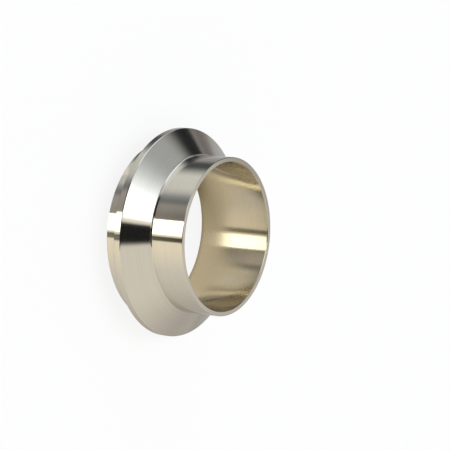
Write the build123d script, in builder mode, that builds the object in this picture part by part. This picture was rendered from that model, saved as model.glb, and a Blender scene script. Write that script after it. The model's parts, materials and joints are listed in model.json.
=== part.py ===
from build123d import *
from math import radians, tan
import os

# A sanitary male ferrule for a two inch tube, turned as one piece.
# Millimetres. +Z runs along the bore from the nose face, at z = 0, to the tube end.

# Driving dimensions
tube_od = 50.8            # outside of the tube stub that is welded to the line
tube_wall = 1.65          # wall of the tube stub
tube_stub_length = 11.65  # straight tube between the conical back and the welded end
nose_wall = 5.0           # metal between the bore and the outside of the nose
nose_length = 6.5         # how far the nose stands out of the flange
flange_step = 5.0         # how far the flange stands out past the nose
rim_width = 2.4           # straight edge of the flange, which the clamp closes around
back_angle = 35.0         # slope of the flange's conical back, in degrees from square

# Rounds and edge breaks
junction_fillet = 0.8     # where the conical back runs into the tube
rim_round = 0.3           # where the conical back meets the rim
corner_break = 0.15       # outer corners of the nose and of the flange's front face
nose_root_fillet = 0.3    # where the nose leaves the flange
tube_outer_break = 0.1    # outer edge of the tube end
bore_break = 0.25         # both mouths of the bore

# Radii and heights that follow
tube_radius = tube_od / 2
bore_radius = tube_radius - tube_wall
nose_radius = bore_radius + nose_wall
flange_radius = nose_radius + flange_step
cone_rise = (flange_radius - tube_radius) * tan(radians(back_angle))
rim_top = nose_length + rim_width
junction_height = rim_top + cone_rise
overall_length = junction_height + tube_stub_length


def ring_edges(part, height):
    """The circular edges at one height, from the smallest to the largest."""
    slack = 0.01
    circles = part.edges().filter_by(GeomType.CIRCLE)
    return circles.filter_by_position(Axis.Z, height - slack, height + slack).sort_by(SortBy.RADIUS)


with BuildPart() as ferrule:
    # Half section, from the nose face up the outside to the tube end and back down the bore
    with BuildSketch(Plane.XZ) as section:
        with BuildLine() as outline:
            Polyline(
                (bore_radius, 0),
                (nose_radius, 0),
                (nose_radius, nose_length),
                (flange_radius, nose_length),
                (flange_radius, rim_top),
                (tube_radius, junction_height),
                (tube_radius, overall_length),
                (bore_radius, overall_length),
                close=True,
            )
        make_face()
    revolve(axis=Axis.Z)

    # Conical back
    fillet(ring_edges(ferrule, junction_height), radius=junction_fillet)
    fillet(ring_edges(ferrule, rim_top), radius=rim_round)

    # Front face of the flange: the root of the nose inside, the flange's corner outside
    nose_root, flange_corner = ring_edges(ferrule, nose_length)
    fillet(nose_root, radius=nose_root_fillet)
    chamfer(flange_corner, length=corner_break)

    # Nose face
    bore_mouth, nose_corner = ring_edges(ferrule, 0)
    chamfer(bore_mouth, length=bore_break)
    chamfer(nose_corner, length=corner_break)

    # Tube end, cut square and deburred
    bore_mouth, tube_corner = ring_edges(ferrule, overall_length)
    chamfer(bore_mouth, length=bore_break)
    chamfer(tube_corner, length=tube_outer_break)

ferrule.part.label = "ferrule"

os.makedirs("parts", exist_ok=True)
export_step(ferrule.part, "parts/ferrule.step")

print(f"overall length {overall_length:.3f} mm, flange diameter {2 * flange_radius:.2f} mm")
print(f"nose diameter {2 * nose_radius:.2f} mm, bore {2 * bore_radius:.2f} mm")
print(f"volume {ferrule.part.volume:.1f} cubic mm")
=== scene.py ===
import json
import math

import bpy
from mathutils import Matrix, Vector


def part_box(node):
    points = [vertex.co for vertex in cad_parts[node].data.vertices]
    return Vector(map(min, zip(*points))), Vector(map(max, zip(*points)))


# The ferrule stands on its nose face, with +Z along its bore and the camera on the -Y side. The
# photograph looks down on the tube end and is turned on its side: in the picture the bore runs to
# the right, and +X points to the bottom.

MM = 0.001

# Picture
IMAGE_SIDE = 450                     # pixels, both ways
SENSOR_WIDTH = 36.0                  # millimetres, across the picture
FOCAL_PIXELS = 1850                  # focal length in picture pixels
TUBE_END_PIXEL = (227.77, 236.91)    # where the centre of the tube end stands in the picture
TUBE_END_DEPTH = 588 * MM            # from the camera to the centre of the tube end
BORE_OFF_VIEW = math.radians(56.73)  # between the bore and the line of sight
BORE_TILT = math.radians(5.44)       # how far the bore runs below level in the picture
NEAREST_SEEN = 10 * MM
FARTHEST_SEEN = 20                   # metres
WHITE = (1.0, 1.0, 1.0)              # of the floor and the background

# Steel
STEEL = (0.58, 0.55, 0.485)          # the tint of the outside
BORE_STEEL = (0.50, 0.45, 0.35)      # the bore is duller and more golden
BORE_SHADE_STEEL = (0.24, 0.20, 0.13)     # painted shade: the tint of the bore's darkest part
EDGE_SHADE_STEEL = (0.22, 0.21, 0.185)    # painted shade along the tube end's outer edge break
BORE_HAZE = 0.10                     # share of the bore's light that it scatters instead of mirroring
ROUGHNESS = 0.09
BORE_ROUGHNESS = 0.157
SMUDGES_PER_METRE = 90
SMUDGE_DETAIL = 2
SMUDGE_ROUGHNESS = 0.02              # how much the smudges change the roughness
MARK_PITCH = 0.7 * MM                # width of the visible turning marks
MARK_DRIFT = 0.6                     # how much they change round the part
MARK_DETAIL = 3
MARK_RANGE = (0.3, 0.7)              # the stretch of their noise that shows as tone
MARK_CONTRAST = 0.03                 # how much they change the steel's tone
MARK_STRENGTH = 0.018                # of their bump
MARK_DEPTH = 0.01 * MM
MARK_STRETCH = 0.85                  # how much they stretch reflections, from 0 to 1
MARK_STRETCH_TURN = 0.25             # a quarter turn: across the marks


def tube_end_centre():
    """The centre of the tube's end, from the frame's box."""
    return Vector((0, 0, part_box("ferrule")[1].z))


def mount_radius(name):
    """The radius of a round mount, from the frame's record."""
    mount = next(mount for mount in frame["record"]["mounts"] if mount["name"] == name)
    return mount["dims"]["r_mm"] * MM


def add_camera():
    """The camera of the photograph: its turn follows from how the bore lies in the picture."""
    bore = Vector((
        math.sin(BORE_OFF_VIEW) * math.cos(BORE_TILT),
        -math.sin(BORE_OFF_VIEW) * math.sin(BORE_TILT),
        math.cos(BORE_OFF_VIEW),
    ))
    # Camera axes are right, up and back. Back, less its part along the bore, points to world -Y.
    toward_camera = Vector((0, 0, 1))
    world_y = -(toward_camera - toward_camera.dot(bore) * bore).normalized()
    world_x = world_y.cross(bore)
    turn = Matrix((world_x, world_y, bore))

    centre_x, centre_y = (pixel - IMAGE_SIDE / 2 for pixel in TUBE_END_PIXEL)
    tube_end = Vector((centre_x / FOCAL_PIXELS, -centre_y / FOCAL_PIXELS, -1)) * TUBE_END_DEPTH

    data = bpy.data.cameras.new("camera")
    data.sensor_width = SENSOR_WIDTH
    data.lens = SENSOR_WIDTH * FOCAL_PIXELS / IMAGE_SIDE
    data.clip_start = NEAREST_SEEN
    data.clip_end = FARTHEST_SEEN
    camera = bpy.data.objects.new("camera", data)
    bpy.context.scene.collection.objects.link(camera)
    camera.matrix_world = Matrix.Translation(tube_end_centre() - turn @ tube_end) @ turn.to_4x4()
    bpy.context.scene.camera = camera


class NodeMaker:
    """Short calls for the shader nodes that the materials and the world share."""

    def __init__(self, tree):
        self.tree = tree
        tree.nodes.clear()

    def add(self, kind, **settings):
        node = self.tree.nodes.new(kind)
        for name, value in settings.items():
            setattr(node, name, value)
        return node

    def link(self, source, target):
        self.tree.links.new(source, target)

    def feed(self, sockets, values):
        """Links or sets these sockets in order. A tuple is a colour, which is made opaque."""
        for socket, value in zip(sockets, values):
            if isinstance(value, bpy.types.NodeSocket):
                self.link(value, socket)
            elif isinstance(value, tuple):
                socket.default_value = (*value, 1.0)
            else:
                socket.default_value = value

    def split(self, vector):
        node = self.add("ShaderNodeSeparateXYZ")
        self.link(vector, node.inputs[0])
        return node.outputs

    def noise(self, vector, scale, detail):
        node = self.add("ShaderNodeTexNoise")
        node.inputs["Scale"].default_value = scale
        node.inputs["Detail"].default_value = detail
        self.link(vector, node.inputs["Vector"])
        return node.outputs["Fac"]

    def math(self, operation, *values):
        node = self.add("ShaderNodeMath", operation=operation)
        self.feed(node.inputs, values)
        return node.outputs[0]

    def length(self, first, second):
        """The length of a line, from its two sides."""
        squares = [self.math("MULTIPLY", side, side) for side in (first, second)]
        return self.math("SQRT", self.math("ADD", *squares))

    def step(self, value, start, full):
        """0 up to start, 1 past full, and smooth between them. Full may be the lower of the two."""
        node = self.add("ShaderNodeMapRange", interpolation_type="SMOOTHSTEP")
        self.feed(node.inputs, (value, start, full, 0.0, 1.0))
        return node.outputs[0]

    def edge(self, value, middle, softness):
        """A step about its middle."""
        return self.step(value, middle - softness / 2, middle + softness / 2)

    def band(self, value, start, end, start_soft, end_soft):
        """1 between start and end, 0 outside them, with soft edges."""
        return self.math(
            "SUBTRACT",
            self.edge(value, start, start_soft),
            self.edge(value, end, end_soft),
        )

    def mix(self, share, first, second):
        """The first colour, with this share of the second laid over it."""
        node = self.add("ShaderNodeMix", data_type="RGBA")
        self.feed([socket for socket in node.inputs if socket.enabled], (share, first, second))
        return next(socket for socket in node.outputs if socket.enabled)

    def mix_shaders(self, share, first, second):
        """The first shader, with this share of the second."""
        node = self.add("ShaderNodeMixShader")
        self.feed(node.inputs, (share, first.outputs[0], second.outputs[0]))
        return node

    def show(self, shader, output="ShaderNodeOutputMaterial"):
        """Makes this shader the one that shows."""
        self.link(shader.outputs[0], self.add(output).inputs["Surface"])


def new_material(name):
    """An empty material, and the maker of its nodes."""
    material = bpy.data.materials.new(name)
    material.use_nodes = True
    return material, NodeMaker(material.node_tree)


# Studio panels: where each starts and ends in degrees, how soft its two edges are, and the tone
# that it gives the outside of the steel, in red, green and blue

FULL_TONE = 255
WARM_WHITE = (362, 355, 310)         # both are past full, so the steel shows them as plain white
COOL_WHITE = (352, 356, 350)

# By bearing round the part, from -180 to 180. 0 is the camera's side, and 90 is to the bottom of
# the picture. A panel that runs on to 300 or from -300 goes up to the seam at 180, where both
# sides have one tone. These lie below the level of the floor and show in the walls of the part.
LOW_FIELD = (154, 152, 146)
LOW_PANELS = [
    (-150, -90, 50, 10, (130, 124, 116)),
    (-128, -80, 16, 10, (67, 68, 68)),
    (-101, -60, 26, 18, (198, 195, 182)),
    (-52, -8, 18, 4, (108, 107, 103)),
    (-39.8, -8, 8, 4, (130, 124, 115)),
    (-28, -8, 14, 4, (107, 98, 88)),
    (6, 300, 4, 10, (201, 193, 175)),
    (6, 40, 4, 50, (222, 209, 181)),
    (108, 300, 150, 10, (140, 132, 120)),
    (165, 300, 30, 10, LOW_FIELD),
    (8.5, 15.0, 2.6, 3, (38, 30, 12)),
    (-15.6, 5.2, 1.9, 2.6, WARM_WHITE),
]
# A little lower still, where the rim and the nose show it
LOWEST_PANELS = [
    (-128, -92, 16, 14, (76, 77, 75)),
    (-96, -60, 22, 14, (172, 169, 157)),
    (-42, -8, 10, 4, (154, 148, 137)),
    (9.6, 14.3, 2.6, 3, (134, 128, 112)),
    (-15.75, 5.2, 1.9, 2.6, WARM_WHITE),
]
# Two bands above the low panels. They show in the rounded edges, and in the tube by way of the
# conical back.
UNDER_EDGE_PANELS = [
    (-106, -60, 24, 10, (222, 221, 212)),
    (-64, -50, 8, 6, (202, 200, 193)),
    (-46, -17.5, 8, 3, (22, 20, 18)),
    (10, 17, 4, 3, (172, 162, 142)),
    (60, 105, 30, 60, (205, 195, 174)),
]
EDGE_PANELS = [
    (-135, -116, 12, 8, (30, 30, 30)),
    (-17, -3, 3, 3, (160, 156, 146)),
    (-3, 23, 3, 5, (50, 48, 44)),
]

# The same bearings at the part's own height, which show only in its rounded edges
MID_FIELD = (120, 118, 112)
MID_PANELS = [
    (-300, -152, 10, 10, (144, 141, 136)),
    (-300, -172, 10, 10, (160, 158, 152)),
    (152, 300, 30, 10, (134, 127, 117)),
    (170, 300, 16, 10, (160, 158, 152)),
    (-145, -126, 14, 8, (60, 60, 60)),
    (-127, -66, 10, 8, (226, 226, 222)),
    (-66, -46, 8, 8, (158, 156, 148)),
    (-46, -17, 8, 3, (36, 35, 33)),
    (-17, -3, 3, 3, (98, 95, 88)),
    (-3, 23, 3, 5, (26, 25, 23)),
    (22, 145, 6, 70, (199, 191, 173)),
]

# By angle from straight up, across the picture: positive is to the bottom of the picture. These
# lie over the part and show in its conical back.
HIGH_FIELD = (160, 153, 141)
HIGH_PANELS = [
    (-97, -70, 40, 1, (105, 98, 93)),
    (-76, -70, 5, 1, (119, 115, 111)),
    (-70.8, -55.0, 0.6, 12, (29, 29, 30)),
    (-56.0, -20, 12, 8, (155, 156, 151)),
    (-10, 0, 4, 2, (222, 213, 192)),
    (11.5, 56.5, 3, 34, (200, 193, 175)),
    (-21.0, -6.5, 50, 4, COOL_WHITE),
    (-3.0, 11.1, 2.6, 4.2, (27, 27, 26)),
]

# The same angle, over the camera: these show in the edge break of the bore's far side. Their tones
# are those that they give the steel of the bore.
MOUTH_FIELD = (147, 140, 118)
MOUTH_PANELS = [
    (-60, -12, 10, 3, (116, 110, 97)),
    (-12, -2, 3, 3, (332, 324, 292)),
    (-2, 13, 3, 4, (138, 131, 111)),
]
MOUTH_Y = (-0.46, -0.49)             # they fade in between these, where -1 is straight to -Y

# A card behind the part, lighter to its top and to the picture's bottom, which shows in the tube's
# end
BACK_CARD_LOW_UP = (152, 147, 137)
BACK_CARD_LOW_DOWN = (175, 169, 156)
BACK_CARD_HIGH = (195, 190, 177)
BACK_CARD_Y = (0.5, 0.65)            # it fades in between these, where 1 is straight to +Y,
BACK_CARD_SIDE = (35, 20)            # and between these angles from straight up, on both sides
BACK_CARD_DOWN = (-3.6, 1.6)         # angles across the picture, from its upper tone to its lower
BACK_CARD_TOP = (33.6, 34.7)         # elevations between which it gets its high tone

# Elevations in degrees: where each band of panels ends, from the lowest up, and how softly
DEEP_TONE = (40, 35, 28)             # under all of them: it shows in the far mouth of the bore
DEEP_TOP = (-45, 6)
LOWEST_TOP = (-35.95, 0.8)
LOW_TOP = (-29.5, 3)
UNDER_EDGE_TOP = (-12, 5)
EDGE_TOP = (-2, 5)
MID_LEAN = 0.6                       # the high panels begin higher on the camera's side
MID_TOP = 0.5                        # how high a direction is where they begin, out to the side
MID_TOP_SOFTNESS = 0.06
MID_DIP = (-50, -19, 8)              # between these bearings they begin lower, and how softly
MID_DIP_DEPTH = 0.42


def light(tone, metal=STEEL):
    """The light that shows as this tone in the metal. Tones follow the sRGB curve."""
    def linear(value):
        value /= FULL_TONE
        return value / 12.92 if value <= 0.04045 else ((value + 0.055) / 1.055) ** 2.4
    return tuple(linear(value) / share for value, share in zip(tone, metal))


def add_panels(make, colour, angle, panels, metal=STEEL):
    """Lays each panel over what is there already."""
    for start, end, start_soft, end_soft, tone in panels:
        share = make.band(angle, start, end, start_soft, end_soft)
        colour = make.mix(share, colour, light(tone, metal))
    return colour


def high_colour(make, y, overhead, elevation):
    """What lies over the part: the high panels, the card behind it and the panels over the camera."""
    panels = add_panels(make, light(HIGH_FIELD), overhead, HIGH_PANELS)
    card = make.mix(
        make.step(overhead, *BACK_CARD_DOWN),
        light(BACK_CARD_LOW_UP),
        light(BACK_CARD_LOW_DOWN),
    )
    card = make.mix(make.step(elevation, *BACK_CARD_TOP), card, light(BACK_CARD_HIGH))
    behind = make.math(
        "MULTIPLY",
        make.step(y, *BACK_CARD_Y),
        make.step(make.math("ABSOLUTE", overhead), *BACK_CARD_SIDE),
    )
    mouth = add_panels(make, light(MOUTH_FIELD, BORE_STEEL), overhead, MOUTH_PANELS, BORE_STEEL)
    return make.mix(make.step(y, *MOUTH_Y), make.mix(behind, panels, card), mouth)


def studio_colour(make):
    """All the panels round the part, by the direction in which they lie."""
    x, y, z = make.split(make.add("ShaderNodeTexCoord").outputs["Generated"])
    toward_camera = make.math("MULTIPLY", y, -1.0)
    bearing = make.math("DEGREES", make.math("ARCTAN2", x, toward_camera))
    overhead = make.math("DEGREES", make.math("ARCTAN2", x, z))
    elevation = make.math("DEGREES", make.math("ARCSINE", z))

    low = add_panels(make, light(LOW_FIELD), bearing, LOW_PANELS)
    lowest = add_panels(make, low, bearing, LOWEST_PANELS)
    under_edge = add_panels(make, low, bearing, UNDER_EDGE_PANELS)
    edge = add_panels(make, under_edge, bearing, EDGE_PANELS)
    mid = add_panels(make, light(MID_FIELD), bearing, MID_PANELS)

    # Each band begins where the one below it ends
    panels = light(DEEP_TONE)
    borders = (DEEP_TOP, LOWEST_TOP, LOW_TOP, UNDER_EDGE_TOP, EDGE_TOP)
    for (border, softness), band in zip(borders, (lowest, low, under_edge, edge, mid)):
        panels = make.mix(make.edge(elevation, border, softness), panels, band)

    dip_start, dip_end, dip_softness = MID_DIP
    dip = make.band(bearing, dip_start, dip_end, dip_softness, dip_softness)
    leaning = make.math("MULTIPLY_ADD", y, MID_LEAN, z)
    leaning = make.math("MULTIPLY_ADD", dip, MID_DIP_DEPTH, leaning)
    over_mid = make.edge(leaning, MID_TOP, MID_TOP_SOFTNESS)
    return make.mix(over_mid, panels, high_colour(make, y, overhead, elevation))


def add_world():
    """White to the camera; everything else sees the studio's panels."""
    world = bpy.data.worlds.new("studio")
    world.use_nodes = True
    bpy.context.scene.world = world
    make = NodeMaker(world.node_tree)
    rays = make.add("ShaderNodeLightPath").outputs
    background = make.add("ShaderNodeBackground")
    make.link(make.mix(rays["Is Camera Ray"], studio_colour(make), WHITE), background.inputs["Color"])
    make.show(background, "ShaderNodeOutputWorld")


def add_floor():
    """A white floor that keeps a faint part of the shadow. The steel doesn't mirror it."""
    side = 6.0                       # metres
    drop = 0.02 * MM
    shadow_share = 0.14
    bpy.ops.mesh.primitive_plane_add(size=side, location=(0, 0, -drop))
    floor = bpy.context.object
    floor.name = "floor"
    floor.visible_glossy = False

    material, make = new_material("floor_white")
    lit = make.add("ShaderNodeBsdfDiffuse")
    lit.inputs["Color"].default_value = (*WHITE, 1.0)
    glow = make.add("ShaderNodeEmission")
    make.show(make.mix_shaders(shadow_share, glow, lit))
    floor.data.materials.append(material)


def card_colour(make, x, y):
    """Beige, with a gold stripe across it and a darker stripe beside the left of that."""
    beige = (178, 163, 130)
    dull = (130, 116, 90)
    dull_y = (20 * MM, 24 * MM)      # it turns dull from the first to the second
    gold = (236, 220, 165)
    gold_y = 20.4 * MM
    gold_slant = -0.07
    gold_half_width = 2.1 * MM
    # The gold fades in from the middle to both sides
    gold_right = (-2 * MM, 24 * MM)
    gold_left = (0, -30 * MM)
    gold_left_share = 0.6
    shade = (142, 127, 97)
    shade_y = 17.3 * MM
    shade_half_width = 1.5 * MM
    shade_left = (-1 * MM, -9 * MM)
    softness = 1.6 * MM              # of both stripes

    def stripe(middle, slant, half_width):
        centre = make.math("MULTIPLY_ADD", x, slant, middle)
        off = make.math("ABSOLUTE", make.math("SUBTRACT", y, centre))
        return make.step(off, half_width + softness / 2, half_width - softness / 2)

    colour = make.mix(make.step(y, *dull_y), light(beige, BORE_STEEL), light(dull, BORE_STEEL))
    shading = make.math("MULTIPLY", stripe(shade_y, 0, shade_half_width), make.step(x, *shade_left))
    colour = make.mix(shading, colour, light(shade, BORE_STEEL))
    gilding = make.math(
        "MAXIMUM",
        make.step(x, *gold_right),
        make.math("MULTIPLY", make.step(x, *gold_left), gold_left_share),
    )
    gilding = make.math("MULTIPLY", stripe(gold_y, gold_slant, gold_half_width), gilding)
    return make.mix(gilding, colour, light(gold, BORE_STEEL))


def card_cover(make, x, y, to_left):
    """1 where the card is, on the far side. Light comes back out of the bore by way of two gaps."""
    near_edge = 1.9 * MM
    retreat = 0.4                    # how fast this edge moves towards the camera on the left,
    retreat_from = 6 * MM            # and how far out it starts to
    edge_softness = 6 * MM
    gap_far_side = (13 * MM, 11 * MM)
    right_gap_start = (13 * MM, 15 * MM)
    left_gap_start = (13.6 * MM, 15 * MM)
    left_gap_end = (17.6 * MM, 18.6 * MM)
    left_gap_near_side = (5 * MM, 3 * MM)

    beyond = make.math("MAXIMUM", make.math("SUBTRACT", to_left, retreat_from), 0.0)
    inward = make.math("MULTIPLY_ADD", beyond, retreat, y)
    past_edge = make.edge(inward, near_edge, edge_softness)
    before_far_side = make.step(y, *gap_far_side)
    right_gap = make.math("MULTIPLY", make.step(x, *right_gap_start), before_far_side)
    left_gap = make.math(
        "MULTIPLY",
        make.math("SUBTRACT", make.step(to_left, *left_gap_start), make.step(to_left, *left_gap_end)),
        make.math("SUBTRACT", before_far_side, make.step(y, *left_gap_near_side)),
    )
    rest = make.math("SUBTRACT", 1.0, make.math("MAXIMUM", right_gap, left_gap))
    return make.math("MULTIPLY", past_edge, rest)


def card_haze(make, x, y, to_left):
    """A faint glow that fans out on the left, from past the card's middle towards the camera."""
    source_y = 10 * MM
    fan_start = (17, 22)             # degrees from straight towards the camera
    fan_end = (41, 46)
    distances = (5 * MM, 40 * MM)    # it grows between these
    full_share = 0.46

    ahead = make.math("SUBTRACT", source_y, y)
    bearing = make.math("DEGREES", make.math("ARCTAN2", to_left, ahead))
    fan = make.math("SUBTRACT", make.step(bearing, *fan_start), make.step(bearing, *fan_end))
    spread = make.math("MULTIPLY", make.step(make.length(x, ahead), *distances), full_share)
    return make.math("MULTIPLY", fan, spread)


def add_near_card():
    """A card close below the nose, whose left is -X. Only the steel sees it, through the bore."""
    depth = 4.5 * MM
    half_side = 26 * MM              # a little less than the nose's radius
    haze_tone = (219, 203, 173)
    corners = [
        (-half_side, -half_side, -depth),
        (half_side, -half_side, -depth),
        (half_side, half_side, -depth),
        (-half_side, half_side, -depth),
    ]
    mesh = bpy.data.meshes.new("near_card")
    mesh.from_pydata(corners, [], [(0, 1, 2, 3)])
    card = bpy.data.objects.new("near_card", mesh)
    bpy.context.scene.collection.objects.link(card)
    for ray in ("camera", "diffuse", "transmission", "volume_scatter", "shadow"):
        setattr(card, "visible_" + ray, False)

    material, make = new_material("card_beige")
    x, y, _ = make.split(make.add("ShaderNodeTexCoord").outputs["Object"])
    to_left = make.math("MULTIPLY", x, -1.0)
    cover = card_cover(make, x, y, to_left)
    colour = make.mix(cover, light(haze_tone, BORE_STEEL), card_colour(make, x, y))
    cover = make.math("MAXIMUM", cover, card_haze(make, x, y, to_left))
    glow = make.add("ShaderNodeEmission")
    make.link(colour, glow.inputs["Color"])
    clear = make.add("ShaderNodeBsdfTransparent")
    make.show(make.mix_shaders(cover, clear, glow))
    card.data.materials.append(material)


def turning_marks(make, x, y, z, radius):
    """Noise that changes quickly along the section and hardly at all round the axis."""
    turn = make.math("ARCTAN2", y, x)
    rings = make.add("ShaderNodeCombineXYZ")
    make.feed(rings.inputs, (
        make.math("DIVIDE", radius, MARK_PITCH),
        make.math("DIVIDE", z, MARK_PITCH),
        make.math("MULTIPLY", make.math("SINE", turn), MARK_DRIFT),
    ))
    return make.noise(rings.outputs[0], 1, MARK_DETAIL)


def bore_colour_and_shade(make, x, z):
    """The bore's steel, which is golden, with brown painted shade towards the nose on the -X side."""
    painted_shade_x = (6 * MM, -8 * MM)
    painted_shade_z = (13 * MM, 4 * MM)
    painted_shade_share = 0.5
    deepest_shade_x = (-5 * MM, -17 * MM)
    deepest_shade_z = (7 * MM, 0)
    # Brown painted shade all round the mouth at the nose, and faintly at both sides
    mouth_shade_z = (1.8 * MM, 0.2 * MM)
    mouth_shade_share = 0.5
    shaded_side_x = (20.2 * MM, 21.6 * MM)
    side_shade_share = 0.22

    painted_shade = make.math("MULTIPLY", make.step(x, *painted_shade_x), make.step(z, *painted_shade_z))
    deepest_shade = make.math("MULTIPLY", make.step(x, *deepest_shade_x), make.step(z, *deepest_shade_z))
    mouth = make.math("MULTIPLY", make.step(z, *mouth_shade_z), mouth_shade_share)
    side = make.math("MULTIPLY", make.step(make.math("ABSOLUTE", x), *shaded_side_x), side_shade_share)
    over = make.math("MAXIMUM", make.math("MAXIMUM", deepest_shade, mouth), side)
    # The painted shade turns the golden steel brown under these masks
    colour = make.mix(make.math("MULTIPLY", painted_shade, painted_shade_share), BORE_STEEL, BORE_SHADE_STEEL)
    return make.mix(over, colour, BORE_SHADE_STEEL)


def outside_colour(make, x, z, radius):
    """Plain steel, with painted shade along stretches of the tube end's outer edge break."""
    tube_radius = mount_radius("tube_outside")
    edge_radius = (tube_radius - 0.38 * MM, tube_radius - 0.1 * MM)
    edge_depth = 0.4 * MM
    # One stretch is at the -X side, and two are where the edge is nearest to the camera and
    # farthest from it
    shaded_side_x = (-22.4 * MM, -24.6 * MM)
    shaded_middle_x = (4 * MM, 0.5 * MM)

    tube_end = tube_end_centre().z
    edge = make.math(
        "MULTIPLY",
        make.step(radius, *edge_radius),
        make.step(z, tube_end - edge_depth, tube_end),
    )
    shaded_stretches = make.math(
        "MAXIMUM",
        make.step(x, *shaded_side_x),
        make.step(make.math("ABSOLUTE", x), *shaded_middle_x),
    )
    # Painted shade darkens the steel on those stretches of the edge break
    return make.mix(make.math("MULTIPLY", edge, shaded_stretches), STEEL, EDGE_SHADE_STEEL)


def turned_steel():
    """Turned stainless steel: fine rings round the axis, which stretch its reflections across them."""
    material, make = new_material("turned_steel")
    position = make.add("ShaderNodeTexCoord").outputs["Object"]
    x, y, z = make.split(position)
    radius = make.length(x, y)
    bore_radius = mount_radius("bore")
    inside = make.step(radius, bore_radius + 0.5 * MM, bore_radius + 0.2 * MM)
    marks = turning_marks(make, x, y, z, radius)
    smudges = make.noise(position, SMUDGES_PER_METRE, SMUDGE_DETAIL)

    plain = make.mix(inside, outside_colour(make, x, z, radius), bore_colour_and_shade(make, x, z))
    mark_tone = make.step(marks, *MARK_RANGE)
    brightness = make.math("MULTIPLY_ADD", mark_tone, MARK_CONTRAST, 1 - MARK_CONTRAST / 2)
    marked = make.add("ShaderNodeVectorMath", operation="SCALE")
    make.link(plain, marked.inputs[0])
    make.link(brightness, marked.inputs["Scale"])

    rough = make.math("MULTIPLY_ADD", smudges, SMUDGE_ROUGHNESS, ROUGHNESS - SMUDGE_ROUGHNESS / 2)
    rough = make.math("MULTIPLY_ADD", inside, BORE_ROUGHNESS - ROUGHNESS, rough)

    bump = make.add("ShaderNodeBump")
    bump.inputs["Strength"].default_value = MARK_STRENGTH
    bump.inputs["Distance"].default_value = MARK_DEPTH
    make.link(marks, bump.inputs["Height"])

    tangent = make.add("ShaderNodeTangent", direction_type="RADIAL", axis="Z")
    steel = make.add("ShaderNodeBsdfPrincipled")
    steel.inputs["Anisotropic"].default_value = MARK_STRETCH
    steel.inputs["Anisotropic Rotation"].default_value = MARK_STRETCH_TURN
    make.link(make.math("MULTIPLY_ADD", inside, -BORE_HAZE, 1.0), steel.inputs["Metallic"])
    make.link(marked.outputs[0], steel.inputs["Base Color"])
    make.link(rough, steel.inputs["Roughness"])
    make.link(bump.outputs[0], steel.inputs["Normal"])
    make.link(tangent.outputs[0], steel.inputs["Tangent"])
    make.show(steel)
    return material


with open("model.json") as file:
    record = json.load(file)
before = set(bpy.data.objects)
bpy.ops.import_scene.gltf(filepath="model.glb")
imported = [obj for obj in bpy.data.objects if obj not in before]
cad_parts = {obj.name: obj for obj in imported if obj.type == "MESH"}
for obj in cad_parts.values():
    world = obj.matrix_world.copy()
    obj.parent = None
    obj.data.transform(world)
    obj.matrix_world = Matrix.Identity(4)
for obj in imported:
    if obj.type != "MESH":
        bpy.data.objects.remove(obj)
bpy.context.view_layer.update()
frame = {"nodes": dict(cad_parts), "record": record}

bpy.context.scene.view_settings.view_transform = "Standard"

add_camera()
add_world()
add_floor()
add_near_card()
frame["nodes"]["ferrule"].material_slots[0].material = turned_steel()
